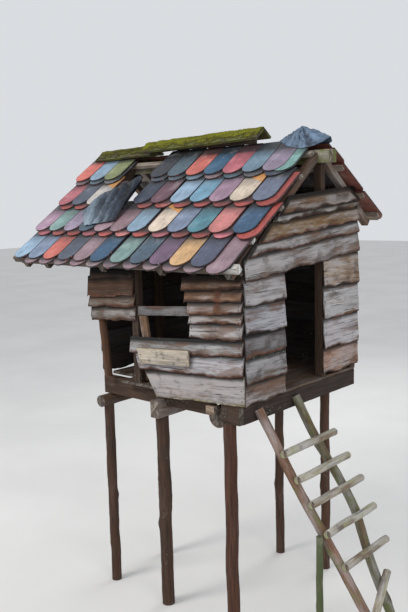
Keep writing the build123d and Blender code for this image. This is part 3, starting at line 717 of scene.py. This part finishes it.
def pole_line(piece):
    """The ends and radius of a round solid."""
    middle, along, side, up = long_axis(piece)
    a, b, c = ([(v.co - middle).dot(axis) for v in piece.verts] for axis in (along, side, up))
    centre = middle + side * (max(b) + min(b)) / 2 + up * (max(c) + min(c)) / 2
    radius = min(max(b) - min(b), max(c) - min(c)) / 2
    return [centre + along * min(a), centre + along * max(a)], radius


def clipped_at_floor(made):
    """Cuts a branch level with the floor."""
    bm = bmesh.new()
    bm.from_mesh(made.data)
    everything = [*bm.verts, *bm.edges, *bm.faces]
    cut = bmesh.ops.bisect_plane(bm, geom=everything, plane_co=(0, 0, 0), plane_no=Z, clear_inner=True)
    rim = [e for e in cut["geom_cut"] if isinstance(e, bmesh.types.BMEdge)]
    bmesh.ops.holes_fill(bm, edges=rim, sides=0)
    bm.to_mesh(made.data)
    bm.free()
    return made


# The ladder leans out from the side rim by this much for each metre down
LADDER_LEAN = 0.526
LADDER_OUT = Vector((1, 0, LADDER_LEAN)).normalized()
RUNG_EXTRA = 0.009
RUNG_FLAT = 0.14
# How much further each rung reaches over the left branch, lowest first
RUNG_REACH = (0.01, 0.02, 0.055, 0.075, 0.15, 0.09)
RUNG_TONES = [(176, 170, 154), (168, 160, 146), (180, 176, 164), (160, 150, 136)]

# Node, material, tones, wander of the axis, bark relief, knots
POLES = dict(
    front_right_post=("log", [(80, 54, 43)], 0.006, 0.0016, 3),
    front_left_post=("log", [(74, 56, 46)], 0.007, 0.0036, 4),
    back_posts=("log", [(82, 60, 48), (78, 58, 48)], 0.006, 0.0026, 3),
    end_posts=("log", [(76, 56, 46), (84, 64, 54)], 0.006, 0.003, 3),
    log_bearers=("log", [(88, 70, 58), (94, 80, 70)], 0.004, 0.003, 3),
    leaning_corner_post=("log", [(84, 58, 42)], 0.004, 0.002, 2),
    ladder_rungs=("rung", RUNG_TONES, 0.003, 0.0015, 1),
    loose_rung=("rung", [(172, 164, 150)], 0.003, 0.0015, 1),
    ladder_prop=("green_branch", [(112, 108, 84)], 0.006, 0.0015, 3),
)
for number, (node, (material, tones, wander, relief, knots)) in enumerate(POLES.items()):
    shape = Shape()
    for n, piece in enumerate(solids(node)):
        path, radius = pole_line(piece)
        seed = 400 + number * 15 + n
        flat = 0.0
        if material == "rung":
            flat = RUNG_FLAT
            radius += RUNG_EXTRA
            path = [p + LADDER_OUT * RUNG_EXTRA for p in path]
        if node == "ladder_rungs":
            near = min(path, key=lambda p: p.y)
            near.y -= RUNG_REACH[n]
        tone = tones[n % len(tones)]
        branch_into(shape, path, radius, tone, seed, wander, relief, knots, flat=flat)
    stands_for(clipped_at_floor(shape.made(node + "_round", material, 50)), node)

LADDER_TOP = -0.045
LADDER_X = -0.01
STRINGER_RADIUS = 0.031
STRINGER_SET_BACK = 0.006
# The ladder's two bent branches, at (y, z) from the wall corner, and their tones
STRINGERS = [
    ([(0.161, -0.045), (0.22, -0.53), (0.3, -0.9), (0.36, -1.255), (0.43, -1.65)], (134, 108, 94)),
    ([
        (0.564, -0.045), (0.6, -0.4), (0.65, -0.56), (0.69, -0.76),
        (0.63, -0.99), (0.59, -1.36), (0.56, -1.65),
    ], (116, 112, 92)),
]
shape = Shape()
for n, (bends, tone) in enumerate(STRINGERS):
    path = [WALL_CORNER + Vector((LADDER_X + LADDER_LEAN * (LADDER_TOP - z), y, z)) for y, z in bends]
    path = [p - LADDER_OUT * STRINGER_SET_BACK for p in path]
    branch_into(shape, smooth_path(path), STRINGER_RADIUS, tone, 600 + n, 0.004, 0.002, 5, sides=26)
stands_for(clipped_at_floor(shape.made("ladder_branches", "branch", 50)), "ladder_stringers")


# Roof tiles: two layers on each batten

PITCH = radians(38)
EAVE_Y = -0.139
EAVE_Z = 0.865
SLOPE_RUN = 1.34
TILE_WIDTH = 0.18
TILE_LENGTH = 0.378
TILE_THICKNESS = 0.013
TILE_BEVEL = 0.003
TILE_CROWN = 0.0012
TAIL_RISE = 0.07
TAIL_STEPS = 9
COURSE_GAUGE = 0.312
UNDER_DROP = 0.044
HEAD_GAP = 0.026
BATTEN_DEPTH = 0.024
SEAT = 0.0003
REAR_FIRST_TAIL = 0.3
FRONT_EDGES = (-0.126, -0.039, -0.027, -0.15)
FRONT_END_TILE = -0.066
END_TILE_DROP = 0.004
REAR_EDGES = (-0.004, -0.02, -0.01)
UNDER_SHIFTS = (0.028, 0.05, 0.06, 0.146)
TILE_JOINT = 0.004
FRONT_LEAN = -3.0
CLAY_SIDE = (150, 84, 66)
# The unshaded length of each layer's tiles above their tails, how soon and how dark the painted
# shadow of the tails above falls past it, and where points are added to show that line: above the
# tail, but no nearer to the head
OVER_UNSHADED = 0.24
UNDER_UNSHADED = 0.026
SHADOW_REACH = 0.04
SHADOW_DARK = 0.7
SHADOW_STATIONS = ((0.255, 0.02), (0.295, 0.01))
# How far the front tiles have slipped sideways in each course, from the right
SLIPPED = (
    (-0.022, -0.018, -0.012, -0.008, -0.005, -0.01, -0.01),
    (-0.007, -0.016, -0.014, -0.012, -0.02, -0.034, -0.038),
    (0.016, -0.005, -0.005, -0.008, -0.014, -0.042),
    (0.004, 0.001, 0.003, 0.000, -0.012, -0.042),
)

tile_tilt = asin(2 * (TILE_THICKNESS + SEAT) / COURSE_GAUGE)
layer = (TILE_THICKNESS + SEAT) / cos(tile_tilt)
tail_out = BATTEN_DEPTH + SEAT + (TILE_LENGTH - UNDER_DROP) * tan(tile_tilt) + 2 * layer
ridge_y = EAVE_Y + SLOPE_RUN * cos(PITCH)
ridge_z = EAVE_Z + SLOPE_RUN * sin(PITCH) - tail_out / cos(PITCH)
face_shift = tail_out * tan(PITCH)
# How far the upper layer's heads lie over the lower layer's
upper_lift = layer - UNDER_DROP * tan(tile_tilt)
FRONT, REAR = -1, 1


def on_slope(side, x, down, out):
    """A point on one slope, down from the ridge and out from the rafters."""
    y = ridge_y + side * (down * cos(PITCH) + out * sin(PITCH))
    z = ridge_z - down * sin(PITCH) + out * cos(PITCH)
    return WALL_CORNER + Vector((x, y, z))


def tile_outline(length, half, rise):
    """Half widths down a tile's length, with a round tail."""
    straight = length - rise
    radius = (half**2 + rise**2) / (2 * rise)
    half_angle = asin(half / radius)
    lengthwise = {0.0, straight / 3, 2 * straight / 3, straight}
    lengthwise |= {max(near_head, length - s) for s, near_head in SHADOW_STATIONS}
    outline = [(y, half) for y in sorted(lengthwise) if y <= straight]
    for k in range(1, TAIL_STEPS + 1):
        a = half_angle * max(0.035, 1 - k / TAIL_STEPS)
        outline.append((length - radius + radius * cos(a), radius * sin(a)))
    return outline


def tile_section(w, half, near_tip, tone):
    """Points across a tile of half width w: its cambered face, worn rims and flat back."""
    b = min(TILE_BEVEL, w * 0.5)
    top = TILE_THICKNESS - TILE_CROWN
    crown = TILE_CROWN * (w / half) ** 2
    # The edge marks darken the rims in the material, partly as dirt, partly as painted shade
    left = [(-w, 0, 1, tone), (-w, top - b, 1, tone), (-w + b * 0.4, top - b * 0.25, 0.75, tone)]
    face = []
    for share in (-0.97, -0.75, -0.4, 0.0, 0.4, 0.75, 0.97):
        edge = max(0.3 if abs(share) > 0.9 else 0.0, near_tip)
        height = top + crown * (1 - share**2) - TILE_BEVEL * 0.6 * near_tip
        face.append((share * (w - b), height, edge, tone))
    right = [(-x, z, edge, tone) for x, z, edge, _ in reversed(left)]
    return left + face + right + [(w * 0.98, 0, 0.2, CLAY_SIDE), (-w * 0.98, 0, 0.2, CLAY_SIDE)]


def tile_into(shape, side, x, head, tail, lift, tone, rnd, unshaded, lean=0.0, dipped=False):
    """One plain tile, with painted shadow where it goes in under others; a dipped one has an ochre head."""
    length = (tail - head) / cos(tile_tilt)
    half = (TILE_WIDTH - TILE_JOINT * rnd.uniform(0.6, 1.3)) / 2
    rise = TAIL_RISE * rnd.uniform(0.94, 1.04)
    turn = radians(lean + rnd.uniform(-0.6, 0.6))
    slip = rnd.uniform(-0.003, 0.0)
    shift = rnd.uniform(-0.001, 0.001)
    spot = rnd.uniform(0, 50)
    angle = PITCH - tile_tilt
    down = Vector((0, side * cos(angle), -sin(angle)))
    up = Vector((0, side * sin(angle), cos(angle)))
    tail_end = on_slope(side, x + shift, head, BATTEN_DEPTH + SEAT + lift) + down * (length + slip)
    across = X * cos(turn) + down * sin(turn)
    down_axis = down * cos(turn) - X * sin(turn)
    origin = tail_end - down_axis * length
    rings = []
    for y, w in tile_outline(length, half, rise):
        near_tip = max(0.0, 1 - (length - y) / TILE_BEVEL) if y > length - rise else 0.0
        # Painted shadow of the tails above, darkening the tile past its unshaded length
        tail_shadow = clamped((length - y - unshaded) / SHADOW_REACH)
        ring = []
        for px, pz, edge, colour in tile_section(w, half, near_tip, tone):
            place = origin + across * px + down_axis * y + up * pz
            from_tail = length - y + 0.55 * px if dipped else 0.0
            here = shaded(colour, 1 - SHADOW_DARK * tail_shadow)
            ring.append(shape.point(place, (px + spot, y, spot), here, edge, from_tail))
        rings.append(ring)
    shape.solid_loft(rings)


# The tiles' colours
TONES = dict(
    coral=(220, 112, 98), light_blue=(146, 176, 200), sky=(128, 180, 210),
    olive=(134, 144, 92), black=(40, 46, 58), slate_teal=(76, 100, 114),
    steel=(48, 102, 138), rose=(202, 108, 120), grey_blue=(116, 144, 164),
    mauve=(160, 144, 168), mint=(126, 174, 168), slate=(82, 92, 112),
    white=(208, 200, 194), navy=(40, 54, 78), plum=(112, 68, 84), ice=(164, 196, 224),
    pink_lilac=(188, 150, 176), cream=(242, 222, 200),
    blue_lilac=(122, 132, 158), mauve_brown=(156, 124, 132), lilac_blue=(138, 156, 186),
    teal=(78, 136, 152), pink=(222, 136, 132), blue=(42, 88, 124), aqua=(134, 168, 164),
    slate_blue=(74, 100, 120), purple=(122, 92, 122), ochre=(224, 178, 124),
    dark_lilac=(84, 90, 116), mauve_pink=(168, 138, 148), red=(196, 84, 74),
    rust=(174, 80, 72), grey=(110, 112, 116), grey_pink=(152, 128, 134),
)
# The upper layer of each front course from right to left, a dash where a tile is missing, and its
# lower layer, whose tones repeat
FRONT_COURSES = [
    (
        "mauve grey_blue rose steel coral slate_teal black - - olive light_blue coral",
        "slate grey slate_teal grey_pink grey_blue slate_teal slate slate",
    ),
    ("blue_lilac cream pink_lilac sky ice plum navy - - white slate rose", "red red rust red"),
    (
        "blue pink teal lilac_blue cream light_blue mauve_brown mauve_pink slate_blue mauve aqua pink_lilac",
        "red rose red rust rose red pink",
    ),
    (
        "dark_lilac ochre purple slate_blue aqua blue mauve_pink slate coral lilac_blue ice",
        "mauve_pink grey_pink mauve_brown grey_pink mauve_pink",
    ),
]
REAR_COUNTS = (13, 12, 12)
REAR_UPPER = "steel rose teal cream slate light_blue coral mauve ochre aqua plum".split()
REAR_LOWER = "rust red rust rose".split()


def course_into(shape, side, edge, tail, under_shift, upper, lower, seed, slipped=()):
    """Both layers of one course; upper lists the upper tones from right to left."""
    rnd = Random(seed)
    lean = FRONT_LEAN if side == FRONT else 0.0
    slip = 0.0
    for n, tone in enumerate(upper):
        slip = slipped[n] if n < len(slipped) else min(0.0, slip + 0.003)
        if tone == "-":
            continue
        # Right of the hole the tiles are whole; elsewhere they are cut where they would pass the ridge
        whole = "-" in upper[n:]
        length = TILE_LENGTH if whole else min(TILE_LENGTH, tail - HEAD_GAP)
        head = tail - length
        lift = (TILE_LENGTH - length) * tan(tile_tilt)
        x = edge - (n + 0.5) * TILE_WIDTH
        under_tone = shaded(TONES[lower[n % len(lower)]], rnd.uniform(0.88, 1.08))
        over_tone = shaded(TONES[tone], rnd.uniform(0.95, 1.05))
        under_x = x + under_shift + slip / 2
        under_head, under_tail = head + UNDER_DROP, tail + UNDER_DROP
        # The rightmost lower tile lies open at its side and gets no painted shadow
        unshaded = UNDER_UNSHADED if n else TILE_LENGTH
        tile_into(shape, side, under_x, under_head, under_tail, lift, under_tone, rnd, unshaded, lean)
        lift += upper_lift
        dipped = side == FRONT and tone in ("cream", "white")
        tile_into(shape, side, x + slip, head, tail, lift, over_tone, rnd, OVER_UNSHADED, lean, dipped)


for n, (upper, lower) in enumerate(FRONT_COURSES):
    shape = Shape()
    tail = SLOPE_RUN - face_shift - (3 - n) * COURSE_GAUGE
    tones = upper.split(), lower.split()
    course_into(shape, FRONT, FRONT_EDGES[n], tail, UNDER_SHIFTS[n], *tones, 31 + n, SLIPPED[n])
    if n == 0:
        x = FRONT_END_TILE - TILE_WIDTH / 2
        head, lift = tail - TILE_LENGTH, upper_lift - END_TILE_DROP
        tile_into(shape, FRONT, x, head, tail, lift, TONES["mint"], Random(77), OVER_UNSHADED, FRONT_LEAN)
    stands_for(shape.made(f"front_tiles_{n + 1}", "tiles", 45), f"front_tile_course_{n + 1}")
for n, count in enumerate(REAR_COUNTS):
    shape = Shape()
    tail = REAR_FIRST_TAIL - face_shift + n * COURSE_GAUGE
    upper = [REAR_UPPER[(k * 4 + n * 3) % len(REAR_UPPER)] for k in range(count)]
    course_into(shape, REAR, REAR_EDGES[n], tail, UNDER_SHIFTS[n], upper, REAR_LOWER, 51 + n)
    stands_for(shape.made(f"rear_tiles_{n + 1}", "tiles", 45), f"rear_tile_course_{n + 1}")


# Moss on the ridge caps, bright on the right pair and thin on the left

BRIGHT_MOSS = (172, 172, 56)
DULL_MOSS = (120, 118, 58)
RIGHT_CAPS_FROM = -1.2
CAP_SLOPE = sloped(X, 1.6)
MOSS_STEP = 0.006
MOSS_HEIGHT = 0.011
MOSS_MOST = 0.014
MOSS_UNDER = 0.006


def borders(rings):
    """The four border lines of a grid of points."""
    return [r[0] for r in rings], [r[-1] for r in rings], rings[0], rings[-1]


def moss_into(shape, piece, seed, cover, tone):
    """Clumps of moss over the outer face of a cap board."""
    plane = Plane(outer_face(piece, Z), CAP_SLOPE)
    _, us, vs = plane.outline()
    low_u, high_u, low_v, high_v = min(us), max(us), min(vs), max(vs)
    top_v = high_v if plane.v_axis.z > 0 else low_v
    columns = round((high_u - low_u) / MOSS_STEP)
    rows = round((high_v - low_v) / MOSS_STEP)

    def clump_at(k, j):
        u = low_u + (high_u - low_u) * k / columns
        v = low_v + (high_v - low_v) * j / rows
        from_top = abs(v - top_v) / (high_v - low_v)
        clump = 0.5 + noise_at(u * 13, v * 26, seed) * 0.8 + noise_at(u * 60, v * 60, seed) * 0.35
        tuft = noise_at(u * 190, v * 190, seed) * 0.5 + noise_at(u * 420, v * 420, seed) * 0.3
        grown = max(0.0, clump + cover - 1.15 * from_top)
        border = min(1.0, k / 2, (columns - k) / 2, j / 2, (rows - j) / 2)
        height = min(MOSS_MOST, MOSS_HEIGHT * grown**0.7 * (1 + 0.55 * tuft)) * border
        height = height if grown > 0.04 else -0.002
        place = plane.at(u, v, height - 0.001)
        place.z = min(place.z, cad_box[1].z - 0.0005)
        return place, (u, v, seed), tone, max(0.0, height / 0.012)

    rings = shape.grid(columns, rows, clump_at)
    shape.loft(rings, closed=False)
    for rim in borders(rings):
        under = []
        for index in rim:
            place = Vector(shape.points[index]) - plane.normal * MOSS_UNDER
            under.append(shape.point(place, shape.marks[index][0], tone))
        shape.loft([rim, under], closed=False)


shape = Shape()
for n, piece in enumerate(solids("ridge_caps")):
    cover = 0.5 if outer_face(piece, Z).normal.y < 0 else 0.15
    is_right = sum(v.co.x for v in piece.verts) / len(piece.verts) > RIGHT_CAPS_FROM
    cover, tone = (cover, BRIGHT_MOSS) if is_right else (cover - 0.2, DULL_MOSS)
    moss_into(shape, piece, 700 + n, cover, tone)
shape.made("ridge_moss", "moss", 180)


# Draped sheets

BLUE_SHEET = (95, 114, 136)
BLUE_THICKNESS = 0.0022
BLUE_AROUND = 132
BLUE_RINGS = 22
# The rubber's own dark tone, and the pale tone of a painted sheen towards its lower left
RUBBER_HIGH = (26, 34, 48)
RUBBER_LOW_SHEEN = (134, 150, 162)
RUBBER_THICKNESS = 0.0028
RUBBER_STEPS = 56
RUBBER_FOLD = 0.034
RUBBER_LIFT = 0.034
RUBBER_WRINKLE = 0.01
RUBBER_RIPPLE = 0.008


def rim_at(corners, peak, angle):
    """The place on a sheet's edge in a direction from its peak."""
    keys = sorted(corners)
    turned = angle if angle >= keys[0] else angle + 2 * pi
    for a, b in zip(keys, keys[1:] + [keys[0] + 2 * pi]):
        if a <= turned <= b:
            first, second = corners[a], corners[b if b in corners else keys[0]]
    direction = Vector((cos(angle), sin(angle), 0))
    span = second - first
    start = first - peak
    cross = direction.x * span.y - direction.y * span.x
    return first + span * clamped((start.x * direction.y - start.y * direction.x) / cross)


def drape_into(shape, piece, seed):
    """The sheet over the ridge end: from the peak down to its edge in folds."""
    top = max((v.co for v in piece.verts), key=lambda c: c.z).copy()
    peak = top - Z * 0.002
    corners = {}
    for v in piece.verts:
        offset = v.co - top
        if offset.length > 0.03:
            key = round(atan2(offset.y, offset.x), 2)
            if key not in corners or corners[key].z < v.co.z:
                corners[key] = v.co.copy()

    def fold_at(k, n, level):
        share = (k + 1) / BLUE_RINGS
        angle = min(corners) + 2 * pi * n / BLUE_AROUND
        angle = angle if angle <= pi else angle - 2 * pi
        across, ahead = cos(angle) * share, sin(angle) * share
        fold = 1.6 * noise_at(cos(angle) * 2.2, sin(angle) * 2.2, seed)
        wrinkle = 0.5 - abs(noise_at(across * 5 + ahead * 2, ahead * 6, seed + 7)) * 2
        crease = 0.4 - abs(noise_at(across * 11, ahead * 9 - across * 5, seed + 2)) * 2
        bulge = sin(pi * share) * (0.002 + 0.018 * fold + 0.014 * wrinkle + 0.006 * crease)
        place = peak.lerp(rim_at(corners, peak, angle), share)
        place.z += max(bulge, -0.012 * (1 - share)) + level
        place.z = min(place.z, top.z - 0.0004)
        grain = (across * 0.2, ahead * 0.2, seed)
        # The edge mark is low in the fold hollows, where the material paints shade
        return place, grain, BLUE_SHEET, 0.3 + 0.35 * fold + 0.3 * wrinkle

    sides = []
    for level in (0.0, -BLUE_THICKNESS):
        hub = shape.point(peak + Z * level, (0, 0, seed), BLUE_SHEET, 1.0)
        rings = shape.grid(BLUE_RINGS - 1, BLUE_AROUND - 1, fold_at, level)
        shape.fan(rings[0], hub)
        shape.loft(rings)
        sides.append(rings[-1])
    shape.loft(sides)


shape = Shape()
drape_into(shape, solids("ridge_sheet")[0], 3.0)
ridge_sheet = stands_for(shape.made("ridge_cover", "blue_sheet", 60), "ridge_sheet")


def hull_top(edges, u):
    """The highest line over an outline at a place along it, with its notches bridged."""
    tops = []
    for (u0, v0), (u1, v1) in combinations(sorted({p for edge in edges for p in edge}), 2):
        if u0 <= u <= u1 and u1 - u0 > 1e-6:
            tops.append(v0 + (v1 - v0) * (u - u0) / (u1 - u0))
    return max(tops)


def flashing_into(shape, piece, seed):
    """The rubber sheet below the roof's hole, in rising folds that run down to the left."""
    plane = Plane(outer_face(piece, Z), X)
    edges, us, _ = plane.outline()
    start, stop = min(us) + 0.001, max(us) - 0.001
    steps = rows = RUBBER_STEPS

    def fold_at(k, j, level):
        u = start + (stop - start) * k / steps
        low, high = board_span(edges, u)
        high = max(high, hull_top(edges, u))
        v = low + (high - low) * j / rows
        slant = u + 0.18 * v
        fold = 1 - abs(2 * ((slant * 13 + 0.8 * noise_at(u * 7, v * 5, seed)) % 1.0) - 1)
        small = 1 - abs(noise_at(u * 34 + v * 6, v * 9 - u * 5, seed)) * 2
        ripple = noise_at(u * 9, v * 26, seed + 3)
        border = min(1.0, 4 * j / rows, 5 * (steps - k) / steps, 5 * k / steps)
        near_top = min(1.0, 0.25 + (high - v) / 0.1)
        height = RUBBER_FOLD * fold**1.5 + RUBBER_WRINKLE * small + RUBBER_RIPPLE * ripple
        height *= (0.2 + 0.8 * border) * near_top
        height += RUBBER_LIFT * exp(-(high - v) / 0.05) * min(1.0, (high - low) / 0.25)
        # A painted sheen, paler towards the lower left
        low_left_sheen = (0.5 * (high - v) + 0.9 * (stop - u)) / (stop - start)
        low_left_sheen = clamped(1.6 * low_left_sheen - 0.65 + 0.5 * noise_at(slant * 16, v * 3, seed))
        # Painted shade in the creases between the folds, less on the crests and in the sheen
        crest = max(0.0, 0.62 * fold**1.5 + 0.12 * small + 0.3 * low_left_sheen)
        tone = blended(RUBBER_HIGH, RUBBER_LOW_SHEEN, low_left_sheen)
        return plane.at(u, v, max(0.0, height) + level), (2.4 * slant, 0.5 * v, seed), tone, crest

    sides = []
    for level in (0.0, -RUBBER_THICKNESS):
        rings = shape.grid(steps, rows, fold_at, level)
        shape.loft(rings, closed=False)
        sides.append(borders(rings))
    left, right, first, last = zip(*sides)
    for pair in (first, last, left, right):
        shape.loft(pair, closed=False)


shape = Shape()
flashing_into(shape, solids("roof_flashing")[0], 5.0)
flashing = stands_for(shape.made("hole_flashing", "rubber", 60), "roof_flashing")


# Floor, light and camera


def floor_material():
    n = Nodes("studio_floor")
    n.grain = n.add("TexCoord", {}, "Object")
    n.colour = n.mix(n.ramp(n.noise(0.8, 3, 0.5), 0.3, 0.7), (216, 215, 213), (222, 221, 219))
    return n.finish(0.95, n.noise(60.0, 3), 0.05, 0.001, 0.1)


bpy.ops.mesh.primitive_plane_add(size=80)
floor = bpy.context.object
floor.name = "studio_floor"
floor.data.materials.append(floor_material())

scene.world = bpy.data.worlds.new("studio")
scene.world.use_nodes = True
backdrop = scene.world.node_tree.nodes["Background"]
backdrop.inputs[0].default_value = (*linear((228, 231, 235)), 1)
backdrop.inputs[1].default_value = 0.9


def area_light(name, place, size, power, colour=(1, 1, 1)):
    """A round soft light that points at the house."""
    data = bpy.data.lights.new(name, "AREA")
    data.shape = "DISK"
    data.size = size
    data.energy = power
    data.color = colour
    lamp = bpy.data.objects.new(name, data)
    lamp.location = place
    lamp.rotation_euler = (MIDDLE - Vector(place)).to_track_quat("-Z", "Y").to_euler()
    scene.collection.objects.link(lamp)


MIDDLE = Vector((-0.6, 0.7, 2.2))
area_light("key", (-3.0, -5.5, 7.0), 3.0, 330, (1.0, 0.98, 0.95))
area_light("fill", (6.0, -2.0, 4.0), 4.0, 110, (1.0, 0.99, 0.98))
area_light("back", (-1.0, 7.0, 5.5), 4.0, 150)

# The camera's place and turns, fitted to the wall corners, the eaves and the ridge in the photograph
CAMERA_PLACE = (2.985, -3.562, 2.86)
CAMERA_AZIMUTH = radians(41.73)
CAMERA_DROP = radians(7.97)
CAMERA_ROLL = radians(-1.5)
FOCAL_PIXELS = 758.9
PICTURE_HEIGHT = 612

camera_data = bpy.data.cameras.new("camera")
camera_data.lens = camera_data.sensor_width * FOCAL_PIXELS / PICTURE_HEIGHT
camera = bpy.data.objects.new("camera", camera_data)
camera.matrix_world = (
    Matrix.Translation(CAMERA_PLACE)
    @ Matrix.Rotation(CAMERA_AZIMUTH, 4, "Z")
    @ Matrix.Rotation(pi / 2 - CAMERA_DROP, 4, "X")
    @ Matrix.Rotation(CAMERA_ROLL, 4, "Z")
)
scene.collection.objects.link(camera)
scene.camera = camera
scene.view_settings.view_transform = "Standard"

bpy.context.view_layer.update()
